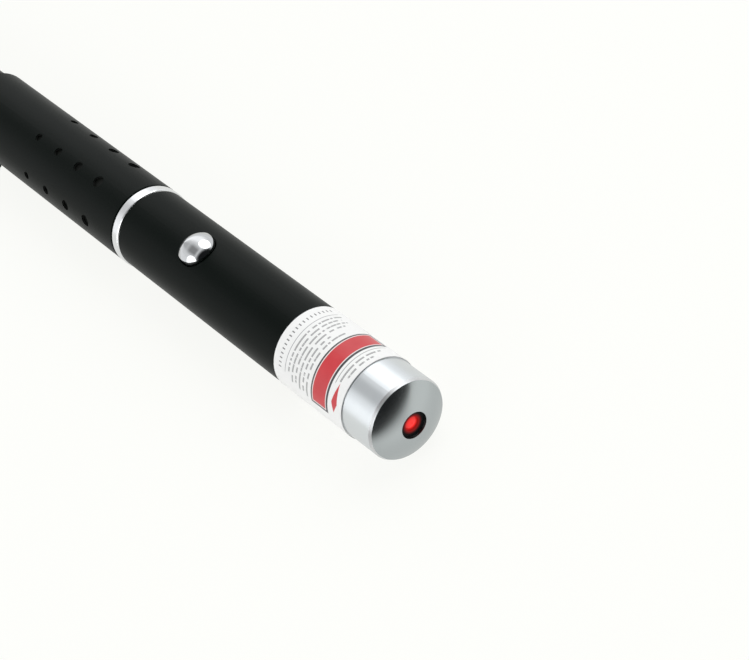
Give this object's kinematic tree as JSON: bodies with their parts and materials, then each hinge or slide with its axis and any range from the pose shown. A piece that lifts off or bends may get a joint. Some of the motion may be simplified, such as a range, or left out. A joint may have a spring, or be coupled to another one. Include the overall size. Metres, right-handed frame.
{
  "type": "laser pointer",
  "caption": "Pen-style laser pointer: domed metal nose with a beam outlet, chrome push button, two barrels that screw together round the cells, and a pocket clip.",
  "frame": {"origin": "centre of the beam outlet, in the plane of the nose's front edge", "axes": "+X along the beam, out of the nose; +Z towards the push button, upright when the pen lies on its barrel and clip"},
  "size_m": [0.1551, 0.0165, 0.0153],
  "materials": {
    "satin_aluminium": "fine turned satin",
    "black_paint": "matt black over brass",
    "chrome": "polished",
    "label_paper": "white film, printed with a plain red band and fine grey rules",
    "brass": "turned",
    "lens": "clear lens lit red from behind",
    "spring_steel": "bright wire",
    "nickel": "dull nickel plate",
    "tinned_lead": "tinned",
    "board_green": "glass-fibre board with green resist",
    "chip_black": "moulded",
    "capacitor_yellow": "moulded",
    "carrier_black": "moulded",
    "plunger_white": "moulded",
    "cell_can": "nickel-plated steel",
    "cell_wrap": "shrunk film in two plain colours"
  },
  "bodies": {
    "front": {"nose_cap": "satin_aluminium", "outlet_hood": "carrier_black", "outlet_window": "lens", "module_housing": "brass", "lens_nut": "brass", "collimating_lens": "lens", "lens_spring": "spring_steel", "laser_diode": "nickel", "diode_leads": "tinned_lead", "diode_ring": "brass", "driver_board": "board_green", "drive_transistor": "chip_black", "board_resistors": "chip_black", "board_capacitor": "capacitor_yellow", "board_carrier": "carrier_black", "switch_body": "chip_black", "switch_cover": "tinned_lead", "switch_legs": "tinned_lead", "spring_seat": "carrier_black", "contact_plate": "nickel", "battery_spring": "spring_steel", "front_barrel": "black_paint", "label_sleeve": "label_paper", "joint_bush": "brass", "centre_ring": "chrome"},
    "button": {"push_button": "chrome", "switch_plunger": "plunger_white"},
    "cells": {"front_cell": "cell_can", "front_cell_wrap": "cell_wrap", "rear_cell": "cell_can", "rear_cell_wrap": "cell_wrap"},
    "rear": {"rear_barrel": "black_paint", "tail_contact": "nickel", "tail_plug": "brass", "pocket_clip": "chrome", "tail_cap": "chrome"}
  },
  "joints": [
    {"name": "button_press", "type": "slide", "parent": "front", "child": "button", "axis": [0, 0, -1], "range_m": [0, 0.0003], "stiffness_N_per_m": 4000, "springref_m": -0.00015},
    {"name": "cells_back", "type": "slide", "parent": "front", "child": "cells", "axis": [-1, 0, 0], "range_m": [0, 0.006], "deforming": ["battery_spring"]},
    {"name": "rear_unscrew", "type": "hinge", "parent": "cells", "child": "rear", "pos_m": [-0.1, 0, 0], "axis": [-1, 0, 0], "range_deg": [0, 2880]}
  ],
  "couplings": [
    {"joint": "rear_unscrew", "follows": "cells_back", "rad_per_m": 8377.6}
  ]
}
